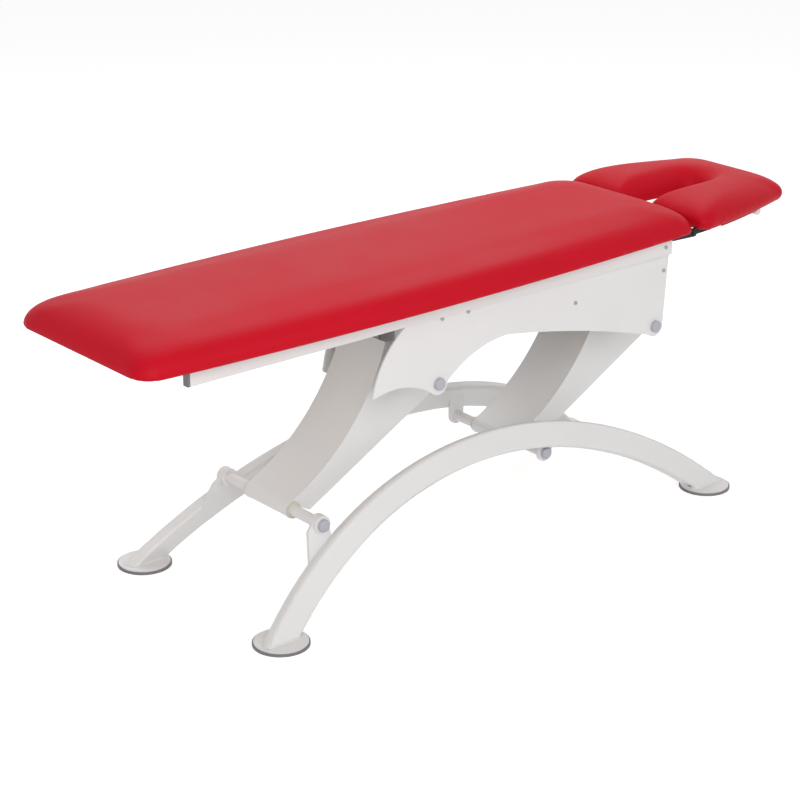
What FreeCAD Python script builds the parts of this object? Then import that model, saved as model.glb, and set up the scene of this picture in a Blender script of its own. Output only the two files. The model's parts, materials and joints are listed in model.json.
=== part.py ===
import FreeCAD, Part
import math
import os
from types import SimpleNamespace

# Height-adjustable treatment table: +X to the head end, +Z up, origin on the floor under the middle.

Vec = FreeCAD.Vector
doc = FreeCAD.newDocument("treatment_table")

sizes = {
    # cushions
    "table_length": 1962,
    "section_gap": 10,
    "main_width": 524,
    "main_foot_width": 484,
    "main_head_width": 460,
    "main_foot_corner": 52,
    "main_head_corner": 46,
    "pad_underside": 648,
    "pad_depth": 66,
    "head_gap_width": 466,
    "head_middle_width": 416,
    "head_end_width": 340,
    "head_gap_corner": 24,
    "head_end_corner": 36,
    "slot_mouth_width": 90,
    "slot_end_width": 70,
    "slot_flare": 45,
    "board_thickness": 12,
    "board_inset": 12,
    "pad_clearance": 0.3,
    # base
    "foot_span": 514,
    "arch_rise": 240,
    "arch_lean": 22,
    "arch_depth": 62,
    "arch_thickness": 30,
    "arch_wall": 2.5,
    "arch_corner": 7,
    "disc_diameter": 118,
    "disc_thickness": 5,
    "drain_diameter": 9,
    "drain_height": 7,
    "rubber_diameter": 124,
    "rubber_thickness": 6,
    "rubber_floor": 3,
    # lift linkage
    "front_pivot_height": 197,
    "rear_pivot_drop": 18,
    "pivot_hang": 195,
    "arm_width": 152,
    "arm_sheet": 4,
    "arm_end_radius": 20,
    "shaft_diameter": 25,
    "hub_diameter": 38,
    "bush_diameter": 31,
    "bush_length": 30,
    "bush_flange": 4,
    "running_clearance": 0.06,
    "seat_clearance": 0.05,
    "ear_thickness": 8,
    "ear_radius": 21,
    "ear_gusset": 130,
    "ear_base": 66,
    "ear_shoulder": 36,
    "rear_ear_inset": 97,
    "rear_ear_height": 62,
    "boss_length": 21,
    "cap_diameter": 28,
    "cap_length": 10,
    "cap_round": 4,
    # top frame
    "rail_span": 424,
    "rail_width": 16,
    "rail_height": 40,
    "rail_wall": 2,
    "rail_foot_inset": 129,
    "rail_head_inset": 82,
    "plug_thickness": 6,
    "cross_tube_size": 30,
    "panel_span": 406,
    "panel_thickness": 4,
    "panel_lobe": 26,
    "panel_foot_reach": 90,
    "panel_tip_reach": 187,
    "panel_tip_drop": 186,
    "panel_crown_drop": 127,
    "panel_tip_round": 8,
    "panel_head_reach": 6,
    "cheek_span": 204,
    "cheek_tip_reach": 88,
    "cheek_tip_hang": 44,
    "cheek_tip_round": 18,
    "cheek_top_reach": 50,
    "cheek_top_length": 50,
    "cheek_head_reach": 154,
    "cheek_head_hang": 13,
    "cheek_head_height": 30,
    "tie_thickness": 12,
    "tie_foot_length": 200,
    "tie_foot_reach": 9,
    "tie_head_height": 77,
    "tie_head_inset": 10,
    "tie_drop": 1,
    "panel_screw_diameter": 5,
    "panel_screw_head": 9,
    "panel_screw_head_height": 2.5,
    "panel_screw_depth": 20,
    "panel_screw_spacing": 75,
    "panel_screw_reach": 46,
    "panel_screw_socket": 4,
    "panel_screw_socket_depth": 1.5,
    # lift drive
    "crank_height": 97,
    "crank_angle": 4.5,
    "crank_sheet": 6,
    "crank_gap": 32,
    "crank_pin": 12,
    "crank_slot_clearance": 5,
    "crank_slot_travel": 22,
    "crank_rim": 8,
    "rod_diameter": 20,
    "rod_length": 201,
    "rod_end_size": 30,
    "rod_end_width": 26,
    "drive_tube_diameter": 40,
    "drive_tube_reach": 124,
    "drive_tube_length": 225,
    "gearbox_length": 40,
    "gearbox_width": 122,
    "gearbox_height": 64,
    "gearbox_offset": 35,
    "motor_diameter": 56,
    "motor_length": 110,
    "motor_offset": 62,
    "tie_bar_reach": 411,
    "clevis_height": 36,
    "clevis_width": 30,
    "control_box_width": 65,
    "control_box_height": 65,
    "control_box_reach": 33,
    "control_box_drop": 113,
    "inlet_length": 16,
    "inlet_width": 35,
    "inlet_height": 30,
    # head hinge
    "hinge_bar_width": 8,
    "hinge_bar_height": 12,
    "hinge_bar_span": 412,
    "hinge_lap": 1,
    "hinge_drop": 8,
    "hinge_end_clearance": 1,
    "hinge_pin_diameter": 8,
    "hinge_pin_head": 12,
    "hinge_pin_head_height": 2,
    "head_bar_length": 70,
    "head_tube_diameter": 18,
    "head_tube_length": 350,
    "head_tube_from_end": 118,
    # cuts run this far past a face
    "overrun": 40,
}

sheet = doc.addObject("Spreadsheet::Sheet", "dims")
for row, (name, value) in enumerate(sizes.items(), start=1):
    sheet.set("A%d" % row, name)
    sheet.set("B%d" % row, str(value))
    sheet.setAlias("B%d" % row, name)
doc.recompute()
d = SimpleNamespace(**{name: float(sheet.get(name)) for name in sizes})

# Shares of the table length, for the base, the lift and the split between the cushions
main_pad_share = 0.804
foot_spacing_share = 0.664
base_offset_share = -0.0126
front_pivot_share = -0.256
pivot_spacing_share = 0.345
arm_reach_share = 0.157

# Shares, chosen by eye, of the sizes that each outline follows
slot_length_share = 0.62
panel_crown_share = 0.3
control_box_share = 0.6
crank_slot_share = 0.25
arm_front_shares = ((-0.034, 0.065), (0.40, 0.42), (0.85, 1.28))
arm_back_shares = ((1.07, 1.24), (1.29, 0.70), (0.15, -0.05))
panel_front_shares = (0.62, 0.41)
panel_notch_shares = (0.72, 0.1)
cheek_front_shares = (0.8, 0.53)
panel_rise_shares = (0.45, 0.72)
panel_fall_shares = (0.46, 0.37)
pad_level_shares = ((0, 0.03), (0.06, 0), (0.22, 0), (0.40, 0.04), (0.56, 0.11), (0.70, 0.22), (0.82, 0.37),
                    (0.91, 0.58), (0.97, 0.95), (1, 1.5))
head_level_shares = ((0, 0.10), (0.08, 0.05), (0.20, 0.01), (0.32, 0), (0.46, 0.05), (0.60, 0.15),
                     (0.73, 0.30), (0.84, 0.50), (0.92, 0.74), (0.975, 1.08), (1, 1.60))
slot_level_shares = ((-0.5, 0), (0.1, 0), (0.3, 0.06), (0.55, 0.2), (0.75, 0.42), (0.9, 0.7), (1, 1),
                     (1.5, 1))
cross_tube_shares = (0.03, 0.33, 1)
corner_share = math.sqrt(0.5)
corner_growth_share = 0.6
corner_limit_share = 0.8
ease_share = 0.5
sides = {"right": -1, "left": 1}
alongX = FreeCAD.Rotation(Vec(0, 1, 0), 90)
alongY = FreeCAD.Rotation(Vec(1, 0, 0), -90)
upright = FreeCAD.Rotation()

# Places worked out from the driving sizes
pad_foot_x = -d.table_length / 2
pad_head_x = d.table_length / 2
main_head_x = pad_foot_x + main_pad_share * d.table_length
head_foot_x = main_head_x + d.section_gap
slot_length = slot_length_share * (pad_head_x - head_foot_x)
base_offset = base_offset_share * d.table_length
disc_top = d.rubber_floor + d.disc_thickness
lean = math.radians(d.arch_lean)
pivot_spacing = pivot_spacing_share * d.table_length
arm_reach = arm_reach_share * d.table_length
arm_rise = d.pad_underside - d.pivot_hang - d.front_pivot_height
lower_front = Vec(front_pivot_share * d.table_length, 0, d.front_pivot_height)
lower_rear = lower_front + Vec(pivot_spacing, 0, -d.rear_pivot_drop)
arm_vector = Vec(arm_reach, 0, arm_rise)
upper_front = lower_front + arm_vector
upper_rear = lower_rear + arm_vector
rail_underside = d.pad_underside - d.rail_height
rail_foot_x = pad_foot_x + d.rail_foot_inset
rail_head_x = main_head_x - d.rail_head_inset
drive_height = upper_front.z + d.crank_height
panel_inside = d.panel_span / 2 - d.panel_thickness
rail_inside = d.rail_span / 2 - d.rail_width
hinge_x = main_head_x + d.section_gap / 2
hinge_z = d.pad_underside - d.hinge_drop

nodes = {}


def keep(obj, label):
    obj.Label = label
    nodes[label] = obj
    return obj


def solid(label, shape):
    feature = doc.addObject("Part::Feature", label)
    feature.Shape = shape
    return feature


def rod(label, diameter, length, start, turn=alongY):
    bar = doc.addObject("Part::Cylinder", label)
    bar.setExpression("Radius", "(%s) / 2" % diameter)
    bar.setExpression("Height", length)
    bar.Placement = FreeCAD.Placement(start, turn)
    return bar


def box(label, lengths, corner):
    block = doc.addObject("Part::Box", label)
    for side, length in zip(("Length", "Width", "Height"), lengths):
        block.setExpression(side, length)
    block.Placement.Base = corner
    return block


def cut(label, base, tool):
    part = doc.addObject("Part::Cut", label)
    part.Base = base
    part.Tool = tool
    return part


def group(label, members):
    compound = doc.addObject("Part::Compound", label)
    compound.Links = members
    return compound


def tube(label, outer, inner, length, start, turn=alongY):
    return cut(label, rod(label + "_outside", outer, length, start, turn),
               rod(label + "_bore", inner, length, start, turn))


def plate(label, role, edges, thickness, middle, turn=upright):
    body = doc.addObject("PartDesign::Body", label)
    plane = next(f for f in body.Origin.OriginFeatures if f.Role == role)
    sketch = body.newObject("Sketcher::SketchObject", label + "_outline")
    sketch.AttachmentSupport = (plane, [""])
    sketch.MapMode = "FlatFace"
    sketch.addGeometry(edges, False)
    pad = body.newObject("PartDesign::Pad", label + "_pad")
    pad.Profile = sketch
    pad.SideType = "Symmetric"
    pad.setExpression("Length", thickness)
    body.Placement = FreeCAD.Placement(middle, turn)
    return body


def line(a, b):
    return Part.LineSegment(Vec(*a), Vec(*b))


def arc(a, b, c):
    return Part.ArcOfCircle(Vec(*a), Vec(*b), Vec(*c))


def hole(x, y, diameter):
    return Part.Circle(Vec(x, y), Vec(0, 0, 1), diameter / 2)


def eased(before, corner, after, radius):
    # an arc that rounds off a corner
    tip = Vec(*corner)
    start = tip + (Vec(*before) - tip).normalize() * radius
    end = tip + (Vec(*after) - tip).normalize() * radius
    middle = tip * ease_share + (start + end) * (ease_share / 2)
    return arc(start, middle, end), tuple(start), tuple(end)


def mirrored(shape):
    return shape.mirror(Vec(), Vec(0, 1, 0))


# Base: two leaning arches on rubber-rimmed discs
half_spacing = foot_spacing_share * d.table_length / 2
arch_sagitta = d.arch_rise / math.cos(lean)
arch_radius = (half_spacing ** 2 + arch_sagitta ** 2) / (2 * arch_sagitta)
arch_half_angle = math.degrees(math.asin((half_spacing + d.overrun) / arch_radius))
arch_place = FreeCAD.Placement(Vec(base_offset, -d.foot_span / 2, disc_top),
                               FreeCAD.Rotation(Vec(1, 0, 0), -d.arch_lean))


def arch_section(depth, thickness, corner):
    centre = Vec(0, 0, arch_sagitta)
    y, z = thickness / 2, depth / 2
    section = Part.makePlane(thickness, depth, centre + Vec(0, -y, -z), Vec(1, 0, 0), Vec(0, 1, 0))
    bar = section.extrude(Vec(d.overrun, 0, 0))
    along = [e for e in bar.Edges if abs(e.tangentAt(e.FirstParameter).x) > corner_share]
    rounded = bar.makeFillet(corner, along)
    face = min(rounded.Faces, key=lambda f: f.CenterOfMass.x)
    return Part.Face(face.OuterWire)


def arch_sweep(depth, thickness, corner):
    hub = Vec(0, 0, arch_sagitta - arch_radius)
    face = arch_section(depth, thickness, corner)
    face.rotate(hub, Vec(0, 1, 0), -arch_half_angle)
    swept = face.revolve(hub, Vec(0, 1, 0), 2 * arch_half_angle)
    swept.Placement = arch_place.multiply(swept.Placement)
    return swept


floor_block = Part.makeBox(d.table_length, d.foot_span * 2, d.table_length,
                           Vec(pad_foot_x, -d.foot_span, disc_top - d.table_length))
arch_outside = arch_sweep(d.arch_depth, d.arch_thickness, d.arch_corner).cut(floor_block)
arch_bore = arch_sweep(d.arch_depth - 2 * d.arch_wall, d.arch_thickness - 2 * d.arch_wall,
                       d.arch_corner - d.arch_wall)
arch_tube = arch_outside.cut(arch_bore)
for along in (-1, 1):
    drain_start = Vec(base_offset + along * half_spacing, -d.foot_span / 2, disc_top + d.drain_height)
    drain = Part.makeCylinder(d.drain_diameter / 2, d.disc_diameter / 2, drain_start, Vec(-along, 0, 0))
    arch_tube = arch_tube.cut(drain)
keep(solid("base_arch_right", arch_tube), "base_arch_right")
keep(solid("base_arch_left", mirrored(arch_tube)), "base_arch_left")

foot_rubbers = []
for end, along in (("foot", -1), ("head", 1)):
    for side, across in sides.items():
        name = "%s_end_%s" % (end, side)
        middle = Vec(base_offset + along * half_spacing, across * d.foot_span / 2, 0)
        seat = middle + Vec(0, 0, d.rubber_floor)
        disc = rod("foot_disc_" + name, "dims.disc_diameter", "dims.disc_thickness", seat, upright)
        keep(disc, "foot_disc_" + name)
        cup = rod("rubber_blank_" + name, "dims.rubber_diameter", "dims.rubber_thickness", middle, upright)
        recess = rod("rubber_recess_" + name, "dims.disc_diameter + 2 * dims.seat_clearance",
                     "dims.rubber_thickness", seat, upright)
        foot_rubbers.append(cut("foot_rubber_" + name, cup, recess))
keep(group("foot_rubbers", foot_rubbers), "foot_rubbers")

# Pivot ears: the front pair stands on the arches, the rear pair hangs inside them
shaft_hole = d.shaft_diameter + 2 * d.seat_clearance


def ear_plate(radius, tail):
    low, toe_x, *left = tail
    r = radius
    corners = [(r, 0, 0), (toe_x, low, 0)] + left
    edges = [arc(left[-1], (0, r, 0), (r, 0, 0))] + [line(a, b) for a, b in zip(corners, corners[1:])]
    face = Part.Face(Part.Wire([e.toShape() for e in edges]))
    face.rotate(Vec(), Vec(1, 0, 0), 90)
    face.translate(Vec(0, d.ear_thickness / 2, 0))
    return face.extrude(Vec(0, -d.ear_thickness, 0))


def shaft_bore(centre, diameter):
    return Part.makeCylinder(diameter / 2, d.foot_span, centre + Vec(0, -d.foot_span / 2, 0), Vec(0, 1, 0))


front_ear_up = (d.front_pivot_height - disc_top) / math.cos(lean)
front_ear_in = d.arch_thickness / 2 - d.ear_thickness / 2
ear_side = d.ear_radius * corner_share
ear_shoulder_z = d.ear_radius / corner_share - d.ear_shoulder
front_ear = ear_plate(d.ear_radius, (-d.ear_gusset, d.ear_radius, (-d.ear_base, -d.ear_gusset, 0),
                                     (-d.ear_shoulder, ear_shoulder_z, 0), (-ear_side, ear_side, 0)))
front_ear.translate(Vec(lower_front.x - base_offset, front_ear_in, front_ear_up))
front_ear.Placement = arch_place.multiply(front_ear.Placement)
front_ear_y = -d.foot_span / 2 + front_ear_up * math.sin(lean) + front_ear_in * math.cos(lean)
front_boss = Part.makeCylinder(d.ear_radius, d.boss_length,
                               lower_front + Vec(0, front_ear_y - d.boss_length / 2, 0), Vec(0, 1, 0))
front_ear = front_ear.fuse(front_boss).cut(arch_outside).cut(shaft_bore(lower_front, shaft_hole))
front_ear = max(front_ear.Solids, key=lambda s: s.Volume)
front_shaft_end = -front_ear_y + d.boss_length / 2

rear_shaft_end = d.foot_span / 2 - d.rear_ear_inset
rear_ear = ear_plate(d.ear_radius, (-d.rear_ear_height, d.ear_radius,
                                    (-d.ear_radius, -d.rear_ear_height, 0), (-d.ear_radius, 0, 0)))
rear_ear.rotate(Vec(), Vec(0, 1, 0), 180)
rear_ear.translate(lower_rear + Vec(0, d.ear_thickness / 2 - rear_shaft_end, 0))
rear_ear = rear_ear.cut(arch_outside).cut(shaft_bore(lower_rear, shaft_hole))
rear_ear = max(rear_ear.Solids, key=lambda s: s.Volume)

for name, shape in (("front_pivot_ear", front_ear), ("rear_pivot_ear", rear_ear)):
    keep(solid(name + "_right", shape), name + "_right")
    keep(solid(name + "_left", mirrored(shape)), name + "_left")


# Shafts with a plastic cap on each end
def shaft(label, centre, half_length):
    start = centre - Vec(0, half_length, 0)
    bar = Part.makeCylinder(d.shaft_diameter / 2, 2 * half_length, start, Vec(0, 1, 0))
    return keep(solid(label, bar), label)


def cap(centre, half_length, across):
    start = centre + Vec(0, across * half_length, 0)
    button = Part.makeCylinder(d.cap_diameter / 2, d.cap_length, start, Vec(0, across, 0))
    rim = max((e for e in button.Edges if e.Closed), key=lambda e: across * e.CenterOfMass.y)
    return button.makeFillet(d.cap_round, [rim])


upper_shaft_end = d.panel_span / 2
shafts = {
    "lower": {"front": (lower_front, front_shaft_end), "rear": (lower_rear, rear_shaft_end)},
    "upper": {"front": (upper_front, upper_shaft_end), "rear": (upper_rear, upper_shaft_end)},
}
for level, pair in shafts.items():
    caps = []
    for end, (centre, half_length) in pair.items():
        shaft("%s_%s_shaft" % (level, end), centre, half_length)
        caps += [cap(centre, half_length, across) for across in sides.values()]
    keep(solid(level + "_shaft_caps", Part.makeCompound(caps)), level + "_shaft_caps")


# Arms: curved channels with a tube hub at each end
def arm_point(shares):
    return Vec(shares[0] * arm_reach, 0, shares[1] * arm_rise)


def arm_channel():
    start, middle, end = [arm_point(s) for s in arm_front_shares]
    top, heel, toe = [arm_point(s) for s in arm_back_shares]
    curve = Part.Arc(start, middle, end).toShape()
    centre, radius = curve.Curve.Center, curve.Curve.Radius
    corners = [end, top, heel, toe, start]
    back = [Part.makeLine(a, b) for a, b in zip(corners, corners[1:])]
    blank = Part.Face(Part.Wire([curve] + back))
    blank.translate(Vec(0, -d.arm_width / 2, 0))
    blank = blank.extrude(Vec(0, d.arm_width, 0))
    end = Part.makeCylinder(d.arm_end_radius, d.arm_width, Vec(0, -d.arm_width / 2, 0), Vec(0, 1, 0))
    blank = blank.fuse(end).removeSplitter()
    sheet_outer = Part.makeCylinder(radius + d.arm_sheet, d.arm_width - 2 * d.arm_sheet,
                                    centre + Vec(0, -d.arm_width / 2 + d.arm_sheet, 0), Vec(0, 1, 0))
    span = 2 * (arm_reach + arm_rise)
    room = Part.makeBox(span, d.arm_width - 2 * d.arm_sheet, span,
                        Vec(-span / 2, -d.arm_width / 2 + d.arm_sheet, -span / 2))
    return blank.cut(room.cut(sheet_outer))


def hub_tube(centre):
    start = centre - Vec(0, d.arm_width / 2, 0)
    outside = Part.makeCylinder(d.hub_diameter / 2, d.arm_width, start, Vec(0, 1, 0))
    bore = Part.makeCylinder(d.bush_diameter / 2 + d.seat_clearance, d.arm_width, start, Vec(0, 1, 0))
    return outside, outside.cut(bore)


def bush(centre, across):
    edge = centre + Vec(0, across * d.arm_width / 2, 0)
    sleeve = Part.makeCylinder(d.bush_diameter / 2, d.bush_length, edge, Vec(0, -across, 0))
    flange = Part.makeCylinder(d.hub_diameter / 2, d.bush_flange, edge, Vec(0, across, 0))
    bore = Part.makeCylinder(d.shaft_diameter / 2 + d.running_clearance, 2 * d.arm_width,
                             centre - Vec(0, d.arm_width, 0), Vec(0, 1, 0))
    return sleeve.fuse(flange).cut(bore).removeSplitter()


for name, low, high in (("front_arm", lower_front, upper_front), ("rear_arm", lower_rear, upper_rear)):
    channel = arm_channel()
    channel.translate(low)
    bushes = []
    for level, centre in (("lower", low), ("upper", high)):
        filled, hub = hub_tube(centre)
        channel = channel.cut(filled)
        keep(solid("%s_%s_hub" % (name, level), hub), "%s_%s_hub" % (name, level))
        bushes += [bush(centre, across) for across in sides.values()]
    channel = max(channel.Solids, key=lambda s: s.Volume)
    keep(solid(name + "_channel", channel), name + "_channel")
    keep(solid(name + "_bushes", Part.makeCompound(bushes)), name + "_bushes")

# Rails, their plugs and the cross tubes
rail_length = rail_head_x - rail_foot_x
cross_tube_room = rail_length - d.cross_tube_size
cross_tube_places = [rail_foot_x + share * cross_tube_room for share in cross_tube_shares]
screw_hole = d.panel_screw_diameter + 2 * d.seat_clearance
rail_screw = Vec(cross_tube_places[-1] + d.cross_tube_size / 2, 0, rail_underside + d.rail_height / 2)
plugs, end_plates = [], []
for side, across in sides.items():
    low_y = rail_inside if across > 0 else -d.rail_span / 2
    low = Vec(rail_foot_x, low_y, rail_underside)
    outside = Part.makeBox(rail_length, d.rail_width, d.rail_height, low)
    bore = Part.makeBox(rail_length, d.rail_width - 2 * d.rail_wall, d.rail_height - 2 * d.rail_wall,
                        low + Vec(0, d.rail_wall, d.rail_wall))
    screw_face = rail_screw + Vec(0, across * d.rail_span / 2, 0)
    screw_bore = Part.makeCylinder(screw_hole / 2, d.rail_width, screw_face, Vec(0, -across, 0))
    keep(solid("rail_" + side, outside.cut(bore).cut(screw_bore)), "rail_" + side)
    cover = ("dims.plug_thickness", "dims.rail_width", "dims.rail_height")
    plugs.append(box("plug_" + side, cover, low - Vec(d.plug_thickness, 0, 0)))
    end_plates.append(box("end_plate_" + side, cover, low + Vec(rail_length, 0, 0)))
keep(group("rail_end_plugs", plugs), "rail_end_plugs")
keep(group("rail_head_plates", end_plates), "rail_head_plates")

for name, x in zip(("foot", "middle", "head"), cross_tube_places):
    corner = Vec(x, -rail_inside, d.pad_underside - d.cross_tube_size)
    length = "dims.rail_span - 2 * dims.rail_width"
    outside = box("cross_blank_" + name, ("dims.cross_tube_size", length, "dims.cross_tube_size"), corner)
    inside = "dims.cross_tube_size - 2 * dims.rail_wall"
    bore = box("cross_bore_" + name, (inside, length, inside), corner + Vec(d.rail_wall, 0, d.rail_wall))
    keep(cut("cross_tube_" + name, outside, bore), "cross_tube_" + name)

# Side panels: an arched lower edge between two round lobes at the upper shafts
lobe = d.panel_lobe
lobe_side = lobe * corner_share
panel_tip = (upper_front.x - d.panel_tip_reach, d.pad_underside - d.panel_tip_drop, 0)
panel_foot = (upper_front.x - d.panel_foot_reach, rail_underside, 0)
panel_head = (rail_head_x + d.panel_head_reach, rail_underside, 0)
crown = (upper_front.x + panel_crown_share * pivot_spacing, d.pad_underside - d.panel_crown_drop, 0)
fall_to = (upper_rear.x - lobe_side, upper_rear.z - lobe_side, 0)


def between(a, b, shares):
    return tuple(p + s * (q - p) for p, q, s in zip(a, b, (shares[0], shares[1], 0)))


lobe_in = (upper_front.x - lobe_side, upper_front.z - lobe_side, 0)
lobe_low = (upper_front.x, upper_front.z - lobe, 0)
lobe_out = (upper_front.x + lobe, upper_front.z, 0)
notch = between(panel_tip, lobe_in, panel_notch_shares)
panel_front = between(panel_foot, panel_tip, panel_front_shares)
tip_arc, tip_top, tip_low = eased(panel_front, panel_tip, notch, d.panel_tip_round)
panel_edges = [
    arc(panel_foot, panel_front, tip_top), tip_arc,
    arc(tip_low, notch, lobe_in), arc(lobe_in, lobe_low, lobe_out),
    arc(lobe_out, between(lobe_out, crown, panel_rise_shares), crown),
    arc(crown, between(crown, fall_to, panel_fall_shares), fall_to),
    arc(fall_to, (upper_rear.x, upper_rear.z - lobe, 0), (upper_rear.x + lobe, upper_rear.z, 0)),
    line((upper_rear.x + lobe, upper_rear.z, 0), panel_head),
    line(panel_head, panel_foot),
]
tie_foot_x = upper_front.x + d.tie_foot_reach
tie_bar_x = upper_front.x + d.tie_bar_reach
tie_head_x = rail_head_x - d.tie_head_inset
tie_foot_z = rail_underside - d.tie_drop - d.tie_thickness / 2
tie_head_z = rail_underside - d.tie_drop - d.tie_head_height / 2
tie_screw_x = upper_front.x + d.panel_screw_reach
screw_places = [(tie_screw_x - d.panel_screw_spacing / 2, tie_foot_z),
                (tie_screw_x + d.panel_screw_spacing / 2, tie_foot_z),
                (tie_bar_x, drive_height), (tie_head_x, tie_head_z)]
panel_holes = [hole(c.x, c.z, shaft_hole) for c in (upper_front, upper_rear)]
panel_holes += [hole(x, z, screw_hole) for x, z in screw_places]
for side, across in sides.items():
    middle = Vec(0, across * (d.panel_span - d.panel_thickness) / 2, 0)
    keep(plate("side_panel_" + side, "XZ_Plane", panel_edges + panel_holes, "dims.panel_thickness", middle),
         "side_panel_" + side)

# Cheeks under the foot tie plate, close to each side of the front arm
cheek_top = tie_foot_z - d.tie_thickness / 2
cheek_foot = (upper_front.x + d.cheek_top_reach, cheek_top, 0)
cheek_head = (upper_front.x + d.cheek_top_reach + d.cheek_top_length, cheek_top, 0)
cheek_tip = (upper_front.x - d.cheek_tip_reach, upper_front.z - d.cheek_tip_hang, 0)
cheek_front = between(cheek_foot, cheek_tip, cheek_front_shares)
cheek_arc, cheek_arc_top, cheek_arc_low = eased(cheek_front, cheek_tip, lobe_low, d.cheek_tip_round)
cheek_low = (upper_front.x + d.cheek_head_reach, upper_front.z - d.cheek_head_hang, 0)
cheek_end = (cheek_low[0], cheek_low[1] + d.cheek_head_height, 0)
cheek_corners = [cheek_arc_low, lobe_low, cheek_low, cheek_end, cheek_head, cheek_foot]
cheek_edges = [arc(cheek_foot, cheek_front, cheek_arc_top), cheek_arc]
cheek_edges += [line(a, b) for a, b in zip(cheek_corners, cheek_corners[1:])]
cheek_edges.append(hole(upper_front.x, upper_front.z, shaft_hole))
cheek_y = (d.cheek_span - d.panel_thickness) / 2
cheeks = [plate("pivot_cheek_" + side, "XZ_Plane", cheek_edges, "dims.panel_thickness",
                Vec(0, across * cheek_y, 0)) for side, across in sides.items()]
keep(group("pivot_cheeks", cheeks), "pivot_cheeks")


# Ties between the panels and the screws that hold them
def panel_screw(x, z, across, span=d.panel_span):
    face = Vec(x, across * span / 2, z)
    head = Part.makeCylinder(d.panel_screw_head / 2, d.panel_screw_head_height, face, Vec(0, across, 0))
    shank = Part.makeCylinder(d.panel_screw_diameter / 2, d.panel_screw_depth, face, Vec(0, -across, 0))
    top = face + Vec(0, across * d.panel_screw_head_height, 0)
    corners = [top + FreeCAD.Rotation(Vec(0, 1, 0), turn).multVec(Vec(0, 0, d.panel_screw_socket / 2))
               for turn in range(0, 361, 60)]
    socket = Part.Face(Part.makePolygon(corners)).extrude(Vec(0, -across * d.panel_screw_socket_depth, 0))
    return head.fuse(shank).removeSplitter().cut(socket)


def with_screw_holes(shape):
    for x, z in screw_places:
        for across in sides.values():
            face = Vec(x, across * d.panel_span / 2, z)
            depth = d.panel_screw_depth + d.seat_clearance
            shape = shape.cut(Part.makeCylinder(screw_hole / 2, depth, face, Vec(0, -across, 0)))
    return shape


tie_foot_corner = Vec(tie_foot_x - d.tie_foot_length / 2, -panel_inside, tie_foot_z - d.tie_thickness / 2)
tie_foot = Part.makeBox(d.tie_foot_length, 2 * panel_inside, d.tie_thickness, tie_foot_corner)
tie_head_corner = Vec(tie_head_x - d.tie_thickness / 2, -panel_inside, tie_head_z - d.tie_head_height / 2)
tie_head = Part.makeBox(d.tie_thickness, 2 * panel_inside, d.tie_head_height, tie_head_corner)
tie_bar_start = Vec(tie_bar_x, -panel_inside, drive_height)
tie_bar = Part.makeCylinder(d.shaft_diameter / 2, 2 * panel_inside, tie_bar_start, Vec(0, 1, 0))
ties = {"foot_tie_plate": tie_foot, "head_tie_plate": tie_head, "drive_tie_bar": tie_bar}
for name, shape in ties.items():
    keep(solid(name, with_screw_holes(shape)), name)
screws = [panel_screw(x, z, across) for x, z in screw_places for across in sides.values()]
screws += [panel_screw(rail_screw.x, rail_screw.z, across, d.rail_span) for across in sides.values()]
keep(solid("panel_screws", Part.makeCompound(screws)), "panel_screws")

# Lift drive: a screw drive between the panels turns the slotted crank on the front arm
slot_half = d.crank_pin / 2 + d.crank_slot_clearance / 2
slot_low = d.crank_height - crank_slot_share * d.crank_slot_travel
slot_high = slot_low + d.crank_slot_travel
tip = slot_half + d.crank_rim
root = d.hub_diameter / 2 + d.crank_rim
crank_edges = [
    arc((-root, 0, 0), (0, -root, 0), (root, 0, 0)), line((root, 0, 0), (tip, slot_high, 0)),
    arc((tip, slot_high, 0), (0, slot_high + tip, 0), (-tip, slot_high, 0)),
    line((-tip, slot_high, 0), (-root, 0, 0)), hole(0, 0, d.hub_diameter + 2 * d.seat_clearance),
    line((slot_half, slot_low, 0), (slot_half, slot_high, 0)),
    arc((slot_half, slot_high, 0), (0, slot_high + slot_half, 0), (-slot_half, slot_high, 0)),
    line((-slot_half, slot_high, 0), (-slot_half, slot_low, 0)),
    arc((-slot_half, slot_low, 0), (0, slot_low - slot_half, 0), (slot_half, slot_low, 0)),
]
crank_turn = FreeCAD.Rotation(Vec(0, 1, 0), d.crank_angle)
crank_plates = [plate("crank_plate_" + side, "XZ_Plane", crank_edges, "dims.crank_sheet",
                      upper_front + Vec(0, across * (d.crank_gap + d.crank_sheet) / 2, 0), crank_turn)
                for side, across in sides.items()]
keep(group("lift_crank", crank_plates), "lift_crank")

pin_x = upper_front.x + d.crank_height * math.tan(math.radians(d.crank_angle))
pin_middle = Vec(pin_x, 0, drive_height)
pin_length = "dims.crank_gap + 4 * dims.crank_sheet"
pin_start = pin_middle - Vec(0, d.crank_gap / 2 + 2 * d.crank_sheet, 0)
keep(rod("crank_pin", "dims.crank_pin", pin_length, pin_start), "crank_pin")
end_half = Vec(d.rod_end_size / 2, d.rod_end_width / 2, d.rod_end_size / 2)
end_block = box("rod_end_blank", ("dims.rod_end_size", "dims.rod_end_width", "dims.rod_end_size"),
                pin_middle - end_half)
end_hole = rod("rod_end_hole", "dims.crank_pin + 2 * dims.seat_clearance", pin_length, pin_start)
keep(cut("rod_end", end_block, end_hole), "rod_end")
rod_start = pin_middle + Vec(d.rod_end_size / 2, 0, 0)
keep(rod("drive_rod", "dims.rod_diameter", "dims.rod_length", rod_start, alongX), "drive_rod")

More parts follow.
